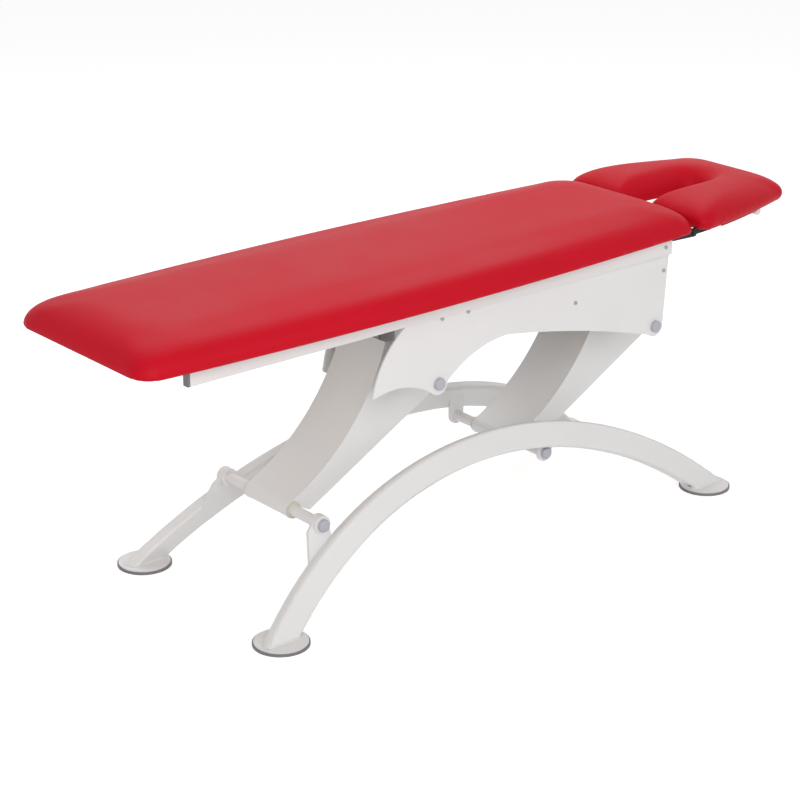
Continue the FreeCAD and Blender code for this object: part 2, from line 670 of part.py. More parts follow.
drive_start = Vec(upper_front.x + d.drive_tube_reach, 0, drive_height)
drive_end_x = drive_start.x + d.drive_tube_length
keep(tube("drive_tube", "dims.drive_tube_diameter", "dims.rod_diameter + 2 * dims.running_clearance",
          "dims.drive_tube_length", drive_start, alongX), "drive_tube")
gearbox_corner = drive_start + Vec(d.drive_tube_length, d.gearbox_offset - d.gearbox_width / 2,
                                   -d.gearbox_height / 2)
keep(box("gearbox", ("dims.gearbox_length", "dims.gearbox_width", "dims.gearbox_height"), gearbox_corner),
     "gearbox")
motor_start = Vec(drive_end_x - d.motor_length, d.motor_offset, drive_height)
keep(rod("lift_motor", "dims.motor_diameter", "dims.motor_length", motor_start, alongX), "lift_motor")
gearbox_end = drive_end_x + d.gearbox_length
clevis_length = "dims.tie_bar_reach + dims.shaft_diameter - dims.drive_tube_reach" \
                " - dims.drive_tube_length - dims.gearbox_length"
clevis_block = box("clevis_blank", (clevis_length, "dims.clevis_width", "dims.clevis_height"),
                   Vec(gearbox_end, -d.clevis_width / 2, drive_height - d.clevis_height / 2))
clevis_hole = rod("clevis_hole", "dims.shaft_diameter + 2 * dims.seat_clearance", "dims.clevis_width",
                  Vec(tie_bar_x, -d.clevis_width / 2, drive_height))
keep(cut("drive_clevis", clevis_block, clevis_hole), "drive_clevis")

box_corner = Vec(tie_bar_x + d.control_box_reach, -panel_inside, d.pad_underside - d.control_box_drop)
box_length = control_box_share * (tie_head_x - tie_bar_x)
keep(solid("control_box", Part.makeBox(box_length, d.control_box_width, d.control_box_height, box_corner)),
     "control_box")
inlet_corner = box_corner + Vec(box_length, (d.control_box_width - d.inlet_width) / 2,
                                (d.control_box_height - d.inlet_height) / 2)
keep(box("power_inlet", ("dims.inlet_length", "dims.inlet_width", "dims.inlet_height"), inlet_corner),
     "power_inlet")


# Cushions and their boards share one outline: two straight ends, round corners, bowed sides
def outline(z, ends, halves, corners, inset):
    x0, x1 = ends[0] + inset, ends[1] - inset
    h0, hm, h1 = [h - inset for h in halves]
    r0, r1 = [min(corner + corner_growth_share * inset, corner_limit_share * h)
              for corner, h in zip(corners, (h0, h1))]
    c = 1 - corner_share
    upper = [(x0, h0 - r0), (x0 + c * r0, h0 - c * r0), (x0 + r0, h0), ((x0 + x1) / 2, hm),
             (x1 - r1, h1), (x1 - c * r1, h1 - c * r1), (x1, h1 - r1)]
    far = [Vec(x, y, z) for x, y in upper]
    near = [Vec(x, -y, z) for x, y in reversed(upper)]
    edges = []
    for run, after in ((far, near), (near, far)):
        edges += [Part.Arc(*run[i:i + 3]).toShape() for i in (0, 2, 4)]
        edges.append(Part.makeLine(run[-1], after[0]))
    return Part.Wire(edges)


def cushion(form, level_shares):
    levels = [outline(d.pad_underside + d.pad_clearance + up * (d.pad_depth - d.pad_clearance),
                      inset=inward * d.pad_depth, **form) for up, inward in level_shares]
    return Part.makeLoft(levels, True, True)


def board(form, inset):
    face = Part.Face(outline(d.pad_underside, inset=inset, **form))
    return face.extrude(Vec(0, 0, d.board_thickness))


def face_slot(grow):
    # a tapered slot, open towards the main cushion, with sides that roll outwards to the top
    wires = []
    for up, outward in slot_level_shares:
        z = d.pad_underside + up * d.pad_depth
        wider = grow + outward * d.slot_flare
        mouth = d.slot_mouth_width / 2 + wider
        end = d.slot_end_width / 2 + wider
        far_x = head_foot_x + slot_length + wider
        start_x = head_foot_x - d.overrun
        turn_x = far_x - end
        bulge = end * corner_share
        points = [Vec(turn_x, -end, z), Vec(turn_x + bulge, -bulge, z), Vec(far_x, 0, z),
                  Vec(turn_x + bulge, bulge, z), Vec(turn_x, end, z)]
        corners = [Vec(start_x, mouth, z), Vec(start_x, -mouth, z)]
        wires.append(Part.Wire([Part.Arc(*points[:3]).toShape(), Part.Arc(*points[2:]).toShape(),
                                Part.makeLine(points[4], corners[0]), Part.makeLine(*corners),
                                Part.makeLine(corners[1], points[0])]))
    return Part.makeLoft(wires, True, True)


main_form = {"ends": (pad_foot_x, main_head_x), "corners": (d.main_foot_corner, d.main_head_corner),
             "halves": (d.main_foot_width / 2, d.main_width / 2, d.main_head_width / 2)}
head_form = {"ends": (head_foot_x, pad_head_x), "corners": (d.head_gap_corner, d.head_end_corner),
             "halves": (d.head_gap_width / 2, d.head_middle_width / 2, d.head_end_width / 2)}
for name, form, level_shares in (("main", main_form, pad_level_shares),
                                 ("head", head_form, head_level_shares)):
    soft = cushion(form, level_shares)
    hard = board(form, d.board_inset)
    room = board(form, d.board_inset - d.pad_clearance)
    room = room.fuse(room.translated(Vec(0, 0, d.pad_clearance))).removeSplitter()
    if name == "head":
        soft = soft.cut(face_slot(0))
        hard = hard.cut(face_slot(d.board_inset))
        room = room.cut(face_slot(d.board_inset - d.pad_clearance))
    soft = soft.cut(room)
    keep(solid(name + "_board", hard), name + "_board")
    keep(solid(name + "_pad", soft), name + "_pad")

# Head hinge: lapped flat bars on a pin at each side, and a cross tube under the head board
bar_end = d.hinge_drop - d.hinge_end_clearance
bar_low = d.pad_underside - d.hinge_bar_height


def hinge_bar(label, tail_x, middle_y, bore):
    eye = bar_end if tail_x < hinge_x else -bar_end
    eye_x, eye_z = eye * corner_share, bar_end * corner_share
    near, side = (hinge_x - eye, d.pad_underside, 0), (hinge_x + eye, hinge_z, 0)
    top, low = (hinge_x, hinge_z + bar_end, 0), (hinge_x, hinge_z - bar_end, 0)
    tail_low, tail = (tail_x, bar_low, 0), (tail_x, d.pad_underside, 0)
    edges = [line(tail, near), line(near, top), arc(top, (hinge_x + eye_x, hinge_z + eye_z, 0), side),
             arc(side, (hinge_x + eye_x, hinge_z - eye_z, 0), low), line(low, tail_low),
             line(tail_low, tail), hole(hinge_x, hinge_z, bore)]
    return plate(label, "XZ_Plane", edges, "dims.hinge_bar_width", Vec(0, middle_y, 0))


main_bars, head_bars, pins = [], [], []
lap_step = d.hinge_bar_width + d.hinge_lap
for side, across in sides.items():
    outer = across * d.hinge_bar_span / 2
    middle_y = outer - across * d.hinge_bar_width / 2
    main_bars.append(hinge_bar("main_bar_" + side, rail_head_x + d.plug_thickness, middle_y,
                               d.hinge_pin_diameter + 2 * d.seat_clearance))
    head_bars.append(hinge_bar("head_bar_" + side, hinge_x + d.head_bar_length, middle_y - across * lap_step,
                               d.hinge_pin_diameter + 2 * d.running_clearance))
    pin_from = Vec(hinge_x, outer, hinge_z)
    pin_length = lap_step + d.hinge_bar_width
    pin = Part.makeCylinder(d.hinge_pin_diameter / 2, pin_length, pin_from, Vec(0, -across, 0))
    pin_head = Part.makeCylinder(d.hinge_pin_head / 2, d.hinge_pin_head_height, pin_from, Vec(0, across, 0))
    pins.append(pin.fuse(pin_head).removeSplitter())
keep(group("main_hinge_bars", main_bars), "main_hinge_bars")
keep(group("head_hinge_bars", head_bars), "head_hinge_bars")
keep(solid("head_hinge_pins", Part.makeCompound(pins)), "head_hinge_pins")
tube_at = Vec(pad_head_x - d.head_tube_from_end, -d.head_tube_length / 2,
              d.pad_underside - d.head_tube_diameter / 2)
keep(rod("head_cross_tube", "dims.head_tube_diameter", "dims.head_tube_length", tube_at), "head_cross_tube")

# Check everything, then write one file for each piece
doc.recompute()
for obj in doc.Objects:
    if "Invalid" in obj.State or "Error" in obj.State:
        raise RuntimeError("failed: " + obj.Label)
for label, obj in nodes.items():
    if obj.Shape.isNull() or not obj.Shape.isValid() or not obj.Shape.Solids:
        raise RuntimeError("bad shape: " + label)
os.makedirs("parts", exist_ok=True)
for label, obj in nodes.items():
    obj.Shape.exportStep(os.path.join("parts", label + ".step"))
    bounds = obj.Shape.optimalBoundingBox(False)
    print("%-28s %d solids, x %.0f to %.0f, y %.0f to %.0f, z %.0f to %.0f" % (
        label, len(obj.Shape.Solids), bounds.XMin, bounds.XMax, bounds.YMin, bounds.YMax,
        bounds.ZMin, bounds.ZMax))
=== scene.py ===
import json
import math

import bmesh
import bpy
import numpy as np
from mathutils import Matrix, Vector


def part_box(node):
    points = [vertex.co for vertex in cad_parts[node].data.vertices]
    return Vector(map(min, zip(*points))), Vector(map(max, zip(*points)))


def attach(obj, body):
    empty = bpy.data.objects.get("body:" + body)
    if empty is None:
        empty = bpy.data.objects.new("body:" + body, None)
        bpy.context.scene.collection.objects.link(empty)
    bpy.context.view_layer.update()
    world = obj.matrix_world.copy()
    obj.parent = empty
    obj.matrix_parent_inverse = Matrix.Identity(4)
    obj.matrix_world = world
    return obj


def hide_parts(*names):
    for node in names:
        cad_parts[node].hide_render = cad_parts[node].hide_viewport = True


# Treatment table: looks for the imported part, in metres, same frame as the part.
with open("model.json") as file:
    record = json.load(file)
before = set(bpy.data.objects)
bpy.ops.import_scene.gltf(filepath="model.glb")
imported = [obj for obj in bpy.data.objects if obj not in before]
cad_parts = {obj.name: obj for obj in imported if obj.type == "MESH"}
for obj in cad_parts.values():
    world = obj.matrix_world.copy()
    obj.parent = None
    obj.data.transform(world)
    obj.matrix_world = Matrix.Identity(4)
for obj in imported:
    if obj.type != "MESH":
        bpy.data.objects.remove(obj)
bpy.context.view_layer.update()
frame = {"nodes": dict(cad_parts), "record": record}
nodes = frame["nodes"]
slotOf = {row["node"]: row["material_slot"] for row in frame["record"]["subparts"]}
scene = bpy.context.scene
mergeDistance = 1e-5
tinyLength = 1e-9
print("stage: frame loaded,", len(nodes), "nodes")


# Shader node groups: they hand out colours, values and bump heights only
def newGroup(name, inputs, outputs):
    group = bpy.data.node_groups.new(name, "ShaderNodeTree")
    for label, kind, value in inputs:
        socket = group.interface.new_socket(label, in_out="INPUT", socket_type="NodeSocket" + kind)
        socket.default_value = value
    for label, kind in outputs:
        group.interface.new_socket(label, in_out="OUTPUT", socket_type="NodeSocket" + kind)
    return group, group.nodes.new("NodeGroupInput"), group.nodes.new("NodeGroupOutput")


def addNode(tree, kind, settings=None, values=None):
    node = tree.nodes.new("ShaderNode" + kind)
    for key, value in (settings or {}).items():
        setattr(node, key, value)
    for key, value in (values or {}).items():
        node.inputs[key].default_value = value
    return node


def makeVinylGrain():
    # fine leather-like pebbles, with slow drifts of tone and of gloss
    group, inside, outside = newGroup("vinylGrain", [
        ("Color", "Color", (0.5, 0.0, 0.0, 1.0)), ("Drift", "Float", 0.06), ("Pebbles", "Float", 900.0)],
        [("Color", "Color"), ("Roughness", "Float"), ("Height", "Float")])
    link = group.links.new
    place = addNode(group, "TexCoord")
    pebble = addNode(group, "TexVoronoi", {"feature": "F1"}, {"Randomness": 1.0})
    crease = addNode(group, "TexNoise", None, {"Scale": 260.0, "Detail": 3.0})
    cloud = addNode(group, "TexNoise", None, {"Scale": 3.5, "Detail": 2.0})
    link(place.outputs["Object"], pebble.inputs["Vector"])
    link(inside.outputs["Pebbles"], pebble.inputs["Scale"])
    link(place.outputs["Object"], crease.inputs["Vector"])
    link(place.outputs["Object"], cloud.inputs["Vector"])
    pebbleShare = 0.6
    rise = addNode(group, "Math", {"operation": "MULTIPLY_ADD"}, {1: pebbleShare})
    link(pebble.outputs["Distance"], rise.inputs[0])
    link(crease.outputs["Fac"], rise.inputs[2])
    link(rise.outputs[0], outside.inputs["Height"])
    tone = addNode(group, "MapRange", None,
                   {"From Min": 0.3, "From Max": 0.7, "To Min": -0.5, "To Max": 0.5})
    link(cloud.outputs["Fac"], tone.inputs["Value"])
    scaled = addNode(group, "Math", {"operation": "MULTIPLY_ADD"}, {2: 1.0})
    link(tone.outputs["Result"], scaled.inputs[0])
    link(inside.outputs["Drift"], scaled.inputs[1])
    shade = addNode(group, "HueSaturation")
    link(inside.outputs["Color"], shade.inputs["Color"])
    link(scaled.outputs[0], shade.inputs["Value"])
    link(shade.outputs["Color"], outside.inputs["Color"])
    gloss = addNode(group, "MapRange", None,
                    {"From Min": 0.3, "From Max": 0.7, "To Min": 0.46, "To Max": 0.54})
    link(cloud.outputs["Fac"], gloss.inputs["Value"])
    link(gloss.outputs["Result"], outside.inputs["Roughness"])
    return group


def makeCoatPeel():
    # orange peel of a baked coat, with faint patches of dust
    group, inside, outside = newGroup("coatPeel", [
        ("Color", "Color", (0.8, 0.8, 0.8, 1.0)), ("Dust", "Color", (0.55, 0.52, 0.48, 1.0)),
        ("Dust Amount", "Float", 0.05), ("Roughness", "Float", 0.35), ("Scale", "Float", 240.0)],
        [("Color", "Color"), ("Roughness", "Float"), ("Height", "Float")])
    link = group.links.new
    place = addNode(group, "TexCoord")
    peel = addNode(group, "TexNoise", None, {"Detail": 2.0, "Roughness": 0.45})
    link(place.outputs["Object"], peel.inputs["Vector"])
    link(inside.outputs["Scale"], peel.inputs["Scale"])
    link(peel.outputs["Fac"], outside.inputs["Height"])
    cloud = addNode(group, "TexNoise", None, {"Scale": 6.0, "Detail": 4.0})
    link(place.outputs["Object"], cloud.inputs["Vector"])
    spread = addNode(group, "MapRange", None, {"From Min": 0.42, "From Max": 0.75})
    link(cloud.outputs["Fac"], spread.inputs["Value"])
    amount = addNode(group, "Math", {"operation": "MULTIPLY"})
    link(spread.outputs["Result"], amount.inputs[0])
    link(inside.outputs["Dust Amount"], amount.inputs[1])
    mix = addNode(group, "Mix", {"data_type": "RGBA"})
    link(amount.outputs[0], mix.inputs["Factor"])
    link(inside.outputs["Color"], mix.inputs["A"])
    link(inside.outputs["Dust"], mix.inputs["B"])
    link(mix.outputs["Result"], outside.inputs["Color"])
    cloudRoughness = 0.12
    rough = addNode(group, "Math", {"operation": "MULTIPLY_ADD"}, {1: cloudRoughness})
    link(cloud.outputs["Fac"], rough.inputs[0])
    link(inside.outputs["Roughness"], rough.inputs[2])
    link(rough.outputs[0], outside.inputs["Roughness"])
    return group


def makeDrawnLines():
    # long scratches from drawing or brushing, running along one axis
    group, inside, outside = newGroup("drawnLines", [
        ("Color", "Color", (0.6, 0.6, 0.6, 1.0)), ("Roughness", "Float", 0.3),
        ("Along", "Vector", (4.0, 700.0, 700.0))],
        [("Color", "Color"), ("Roughness", "Float"), ("Height", "Float")])
    link = group.links.new
    place = addNode(group, "TexCoord")
    stretch = addNode(group, "Mapping")
    link(place.outputs["Object"], stretch.inputs["Vector"])
    link(inside.outputs["Along"], stretch.inputs["Scale"])
    lines = addNode(group, "TexNoise", None, {"Scale": 1.0, "Detail": 3.0})
    link(stretch.outputs["Vector"], lines.inputs["Vector"])
    link(lines.outputs["Fac"], outside.inputs["Height"])
    tone = addNode(group, "MapRange", None,
                   {"From Min": 0.3, "From Max": 0.7, "To Min": 0.88, "To Max": 1.08})
    link(lines.outputs["Fac"], tone.inputs["Value"])
    shade = addNode(group, "HueSaturation")
    link(inside.outputs["Color"], shade.inputs["Color"])
    link(tone.outputs["Result"], shade.inputs["Value"])
    link(shade.outputs["Color"], outside.inputs["Color"])
    lineRoughness = 0.2
    rough = addNode(group, "Math", {"operation": "MULTIPLY_ADD"}, {1: lineRoughness})
    link(lines.outputs["Fac"], rough.inputs[0])
    link(inside.outputs["Roughness"], rough.inputs[2])
    link(rough.outputs[0], outside.inputs["Roughness"])
    return group


def makePlyLayers():
    # pale wood with long grain on the faces and thin veneers on the edges
    group, inside, outside = newGroup("plyLayers", [
        ("Light", "Color", (0.62, 0.44, 0.26, 1.0)), ("Dark", "Color", (0.42, 0.27, 0.14, 1.0))],
        [("Color", "Color"), ("Height", "Float")])
    link = group.links.new
    place = addNode(group, "TexCoord")
    stretch = addNode(group, "Mapping", None, {"Scale": (3.0, 60.0, 900.0)})
    link(place.outputs["Object"], stretch.inputs["Vector"])
    grain = addNode(group, "TexNoise", None, {"Scale": 1.0, "Detail": 5.0, "Distortion": 0.6})
    link(stretch.outputs["Vector"], grain.inputs["Vector"])
    mix = addNode(group, "Mix", {"data_type": "RGBA"})
    link(grain.outputs["Fac"], mix.inputs["Factor"])
    link(inside.outputs["Light"], mix.inputs["A"])
    link(inside.outputs["Dark"], mix.inputs["B"])
    link(mix.outputs["Result"], outside.inputs["Color"])
    link(grain.outputs["Fac"], outside.inputs["Height"])
    return group


groups = {"vinyl": makeVinylGrain(), "coat": makeCoatPeel(),
          "drawn": makeDrawnLines(), "ply": makePlyLayers()}


def finishOf(name, group, values, surface, bump):
    material = bpy.data.materials.new(name)
    material.use_nodes = True
    tree = material.node_tree
    shader = tree.nodes["Principled BSDF"]
    for key, value in surface.items():
        shader.inputs[key].default_value = value
    effect = tree.nodes.new("ShaderNodeGroup")
    effect.node_tree = groups[group]
    for key, value in values.items():
        effect.inputs[key].default_value = value
    tree.links.new(effect.outputs["Color"], shader.inputs["Base Color"])
    if "Roughness" in effect.outputs:
        tree.links.new(effect.outputs["Roughness"], shader.inputs["Roughness"])
    strength, distance = bump
    relief = addNode(tree, "Bump", None, {"Strength": strength, "Distance": distance})
    tree.links.new(effect.outputs["Height"], relief.inputs["Height"])
    tree.links.new(relief.outputs["Normal"], shader.inputs["Normal"])
    return material


finishes = {
    "white_paint": finishOf("whitePaint", "coat",
                            {"Color": (0.76, 0.75, 0.745, 1), "Dust Amount": 0.07, "Roughness": 0.30},
                            {"Coat Weight": 0.12, "Coat Roughness": 0.25}, (0.10, 0.0006)),
    "red_vinyl": finishOf("redVinyl", "vinyl", {"Color": (0.54, 0.002, 0.014, 1)},
                          {"Specular IOR Level": 0.12}, (0.22, 0.0006)),
    "grey_plastic": finishOf("greyPlastic", "coat",
                             {"Color": (0.43, 0.43, 0.48, 1), "Roughness": 0.36, "Dust Amount": 0.05},
                             {}, (0.12, 0.0004)),
    "grey_rubber": finishOf("greyRubber", "coat",
                            {"Color": (0.17, 0.165, 0.18, 1), "Roughness": 0.55, "Dust Amount": 0.18},
                            {}, (0.25, 0.0008)),
    "dark_plastic": finishOf("darkPlastic", "coat",
                             {"Color": (0.16, 0.155, 0.16, 1), "Roughness": 0.42, "Dust Amount": 0.06},
                             {}, (0.3, 0.0006)),
    "black_steel": finishOf("blackSteel", "coat",
                            {"Color": (0.012, 0.012, 0.014, 1), "Roughness": 0.36, "Dust Amount": 0.02},
                            {"Specular IOR Level": 0.2}, (0.2, 0.0005)),
    "steel": finishOf("zincSteel", "drawn", {"Color": (0.42, 0.42, 0.42, 1), "Roughness": 0.30},
                      {"Metallic": 1.0}, (0.05, 0.0003)),
    "aluminium": finishOf("drawnAluminium", "drawn", {"Color": (0.70, 0.70, 0.71, 1), "Roughness": 0.30},
                          {"Metallic": 1.0}, (0.06, 0.0003)),
    "plywood": finishOf("barePly", "ply", {}, {"Roughness": 0.7}, (0.2, 0.0005)),
    "bush_plastic": finishOf("bushPlastic", "coat",
                             {"Color": (0.62, 0.58, 0.50, 1), "Roughness": 0.40, "Dust Amount": 0.05},
                             {}, (0.12, 0.0004)),
}
for name, node in nodes.items():
    node.data.materials.clear()
    node.data.materials.append(finishes[slotOf[name]])
print("stage: materials on every node")


def applyModifier(piece, name):
    bpy.context.view_layer.objects.active = piece
    bpy.ops.object.modifier_apply(modifier=name)


def meshPoints(mesh):
    flat = np.empty(len(mesh.vertices) * 3)
    mesh.vertices.foreach_get("co", flat)
    return flat.reshape(-1, 3)


def evened(mesh, field, passes):
    # each pass moves a value halfway to the mean of its neighbours
    ends = np.empty(len(mesh.edges) * 2, dtype=np.int64)
    mesh.edges.foreach_get("vertices", ends)
    a, b = ends.reshape(-1, 2).T
    count = np.bincount(np.concatenate([a, b]), minlength=len(field))[:, None]
    for _ in range(passes):
        total = np.zeros_like(field)
        np.add.at(total, a, field[b])
        np.add.at(total, b, field[a])
        field = (field + total / np.maximum(count, 1)) / 2
    return field


def swell(piece, values):
    # the foam presses the cover outwards while the part on the board stays put
    rest = meshPoints(piece.data)
    held = rest[:, 2] < values["heldBelow"]
    keep = piece.vertex_groups.new(name="held")
    keep.add([int(i) for i in np.nonzero(held)[0]], 1.0, "REPLACE")
    cloth = piece.modifiers.new("swell", "CLOTH")
    cloth.settings.quality = values["quality"]
    cloth.settings.mass = values["mass"]
    cloth.settings.tension_stiffness = values["stretch"]
    cloth.settings.compression_stiffness = values["stretch"]
    cloth.settings.shear_stiffness = values["stretch"] / 2
    cloth.settings.bending_stiffness = values["bend"]
    cloth.settings.use_pressure = True
    cloth.settings.uniform_pressure_force = values["pressure"]
    cloth.settings.vertex_group_mass = "held"
    cloth.settings.effector_weights.gravity = 0.0
    cloth.collision_settings.use_collision = False
    for step in range(values["steps"]):
        scene.frame_set(step + 1)
    graph = bpy.context.evaluated_depsgraph_get()
    moved = meshPoints(piece.evaluated_get(graph).to_mesh())
    shift = moved - rest
    length = np.linalg.norm(shift, axis=1)
    # far points ease towards the limit instead of stopping short at it
    eased = values["limit"] * np.tanh(length / values["limit"])
    shift *= (eased / np.maximum(length, tinyLength))[:, None]
    # foam carries no small wrinkles, so the movement is evened out between neighbours
    shift = evened(piece.data, shift, values["evened"])
    piece.modifiers.remove(cloth)
    piece.data.vertices.foreach_set("co", (rest + shift).ravel())
    piece.vertex_groups.remove(keep)
    scene.frame_set(1)
    print("stage:", piece.name, "swelled by up to %.1f mm" % (1000 * length.max()))


def makeCushion(label, node, body, values):
    piece = bpy.data.objects.new(label, nodes[node].data.copy())
    scene.collection.objects.link(piece)
    shape = bmesh.new()
    shape.from_mesh(piece.data)
    bmesh.ops.remove_doubles(shape, verts=shape.verts, dist=mergeDistance)
    shape.to_mesh(piece.data)
    shape.free()
    remesh = piece.modifiers.new("even", "REMESH")
    remesh.mode = "VOXEL"
    remesh.voxel_size = values["grid"]
    applyModifier(piece, "even")
    points = meshPoints(piece.data)
    normals = np.array([v.normal for v in piece.data.vertices])
    low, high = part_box(node)
    # the modelled levels leave faint ridges, which a stretched cover would not show
    above = np.clip((points[:, 2] - low.z - values["crisp"]) / values["crisp"], 0, 1)[:, None]
    shift = evened(piece.data, points, values["ironed"]) - points
    # the broad part of that movement is given back, so that the corners keep their size
    shift -= evened(piece.data, shift, values["givenBack"])
    points += above * shift
    # drawn in a little, most at the top, so that the swelling brings it back to size
    rise = np.clip((points[:, 2] - values["heldBelow"]) / (high.z - values["heldBelow"]), 0, 1)
    points -= normals * (values["drawnIn"] * rise)[:, None]
    piece.data.vertices.foreach_set("co", points.ravel())
    swell(piece, values)
    smooth = piece.modifiers.new("smooth", "SUBSURF")
    smooth.levels = 1
    smooth.render_levels = 1
    piece.data.shade_smooth()
    piece.data.materials.clear()
    piece.data.materials.append(finishes["red_vinyl"])
    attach(piece, body)
    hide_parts(node)


cushionValues = {"heldBelow": 0.662, "drawnIn": 0.002, "crisp": 0.006, "ironed": 16, "givenBack": 30,
                 "mass": 0.3, "stretch": 15.0, "bend": 2.0, "pressure": 4.0,
                 "quality": 4, "steps": 20, "limit": 0.006, "evened": 30}
makeCushion("mainCushion", "main_pad", "top_frame", {**cushionValues, "grid": 0.007})
makeCushion("headCushion", "head_pad", "head_section", {**cushionValues, "grid": 0.005})
print("stage: cushions made")


# Details too small for the part: weld beads, and the cover stapled under each board
def sectionLoops(node, place, normal):
    # closed outlines of a node on a cutting plane, the longest first
    shape = bmesh.new()
    shape.from_mesh(nodes[node].data)
    bmesh.ops.remove_doubles(shape, verts=shape.verts, dist=mergeDistance)
    parts = shape.verts[:] + shape.edges[:] + shape.faces[:]
    made = bmesh.ops.bisect_plane(shape, geom=parts, plane_co=place, plane_no=normal)["geom_cut"]
    left = [part for part in made if isinstance(part, bmesh.types.BMEdge)]
    loops = []
    while left:
        run = list(left.pop(0).verts)
        while run[-1] is not run[0]:
            edge = next((e for e in left if run[-1] in e.verts), None)
            if edge is None:
                break
            left.remove(edge)
            run.append(edge.other_vert(run[-1]))
        loops.append(np.array([v.co[:] for v in run]))
    shape.free()
    return sorted(loops, key=lambda run: -np.linalg.norm(np.diff(run, axis=0), axis=1).sum())


def spaced(run, step):
    # points at even spacing along a closed outline, and the direction at each
    along = np.concatenate([[0.0], np.cumsum(np.linalg.norm(np.diff(run, axis=0), axis=1))])
    marks = np.linspace(0.0, along[-1], round(along[-1] / step), endpoint=False)
    points = np.column_stack([np.interp(marks, along, run[:, k]) for k in range(3)])
    ways = np.roll(points, -1, axis=0) - np.roll(points, 1, axis=0)
    return points, ways / np.linalg.norm(ways, axis=1)[:, None]


def joinRings(a, b, count):
    # faces between two rings of points that start at a and b
    return [(a + k, a + (k + 1) % count, b + (k + 1) % count, b + k) for k in range(count)]


def addPiece(label, points, faces, slot, body):
    mesh = bpy.data.meshes.new(label)
    mesh.from_pydata([tuple(p) for p in points], [], faces)
    shape = bmesh.new()
    shape.from_mesh(mesh)
    unused = [v for v in shape.verts if not v.link_faces]
    bmesh.ops.delete(shape, geom=unused, context="VERTS")
    bmesh.ops.recalc_face_normals(shape, faces=shape.faces)
    shape.to_mesh(mesh)
    shape.free()
    mesh.materials.append(finishes[slot])
    piece = bpy.data.objects.new(label, mesh)
    scene.collection.objects.link(piece)
    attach(piece, body)
    return piece


def weldBead(label, node, body, place, normal, loopCount):
    values = {"radius": 0.0024, "step": 0.0012, "ripple": 5, "rippleShare": 0.16, "sides": 8}
    points, faces = [], []
    for run in sectionLoops(node, place, normal)[:loopCount]:
        middle, way = spaced(run, values["step"])
        outward = np.cross(way, normal)
        first = len(points)
        rings = [first + i * values["sides"] for i in range(len(middle))]
        for i, (point, out) in enumerate(zip(middle, outward)):
            swing = math.sin(2 * math.pi * i / values["ripple"])
            radius = values["radius"] * (1 + values["rippleShare"] * swing)
            for k in range(values["sides"]):
                turn = 2 * math.pi * k / values["sides"]
                points.append(point + radius * (math.cos(turn) * out + math.sin(turn) * np.array(normal)))
        for a, b in zip(rings, rings[1:] + rings[:1]):
            faces += joinRings(a, b, values["sides"])
    addPiece(label, points, faces, "white_paint", body).data.shade_smooth()


def weldEverything():
    values = {"lift": 0.0008}
    discTop = max(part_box(name)[1].z for name in nodes if name.startswith("foot_disc"))
    for side in ("left", "right"):
        place = (0, 0, discTop + values["lift"])
        weldBead("footWeld_" + side, "base_arch_" + side, "base", place, (0, 0, 1), loopCount=2)
    for part in ("foot", "middle", "head"):
        tube = "cross_tube_" + part
        low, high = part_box(tube)
        for side, y in (("right", low.y + values["lift"]), ("left", high.y - values["lift"])):
            label = "tubeWeld_%s_%s" % (part, side)
            weldBead(label, tube, "top_frame", (0, y, 0), (0, 1, 0), loopCount=1)


weldEverything()
print("stage: weld beads")


boxSides = 4  # points round the section of a hem or a staple


def stapleRow(label, body, spots, ways, outward, top):
    values = {"long": 0.010, "wide": 0.0013, "high": 0.0006}
    points, faces = [], []
    for spot, way, out in zip(spots, ways, outward):
        first = len(points)
        for z in (top, top - values["high"]):
            for a, b in ((-1, -1), (1, -1), (1, 1), (-1, 1)):
                corner = spot + (a * values["long"] * way + b * values["wide"] * out) / 2
                points.append((*corner[:2], z))
        second = first + boxSides
        faces += joinRings(first, second, boxSides)
        faces += [tuple(range(first, second)), tuple(range(second, second + boxSides))]
    addPiece(label, points, faces, "steel", body)


def hemUnder(label, node, body, blockers):
    # the cover is folded under the edge of the board and stapled, with gaps where a bar is in the way
    values = {"step": 0.006, "outward": 0.003, "inward": 0.020, "thick": 0.0012, "clear": 0.004,
              "stapleEvery": 5}
    low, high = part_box(node)
    middle, way = spaced(sectionLoops(node, (0, 0, (low.z + high.z) / 2), (0, 0, 1))[0], values["step"])
    outward = np.cross(way, (0, 0, 1))
    outward *= np.sign(np.sum((middle - middle.mean(axis=0)) * outward))
    outer, inner = middle + values["outward"] * outward, middle - values["inward"] * outward
    near, far = np.minimum(outer, inner) - values["clear"], np.maximum(outer, inner) + values["clear"]
    free = np.ones(len(middle), bool)
    for blocker in blockers:
        corners = meshPoints(nodes[blocker].data)
        for half in (corners[corners[:, 1] < 0], corners[corners[:, 1] > 0]):
            start, end = half.min(axis=0), half.max(axis=0)
            free &= ~np.all((far > start)[:, :2] & (near < end)[:, :2], axis=1)
    top, bottom = low.z, low.z - values["thick"]
    points, faces = [], []
    for a, b in zip(outer, inner):
        points += [(*a[:2], top), (*a[:2], bottom), (*b[:2], bottom), (*b[:2], top)]
    laid = free & np.roll(free, -1)
    for i in np.nonzero(laid)[0].tolist():
        j = (i + 1) % len(middle)
        start, end = boxSides * i, boxSides * j
        faces += joinRings(start, end, boxSides)
        if not laid[i - 1]:
            faces.append(tuple(range(start, start + boxSides)))
        if not laid[j]:
            faces.append(tuple(range(end, end + boxSides)))
    addPiece(label + "Hem", points, faces, "red_vinyl", body)
    chosen = np.nonzero(laid & (np.arange(len(middle)) % values["stapleEvery"] == 0))[0]
    spots = (outer + inner)[chosen] / 2
    stapleRow(label + "Staples", body, spots, way[chosen], outward[chosen], bottom)


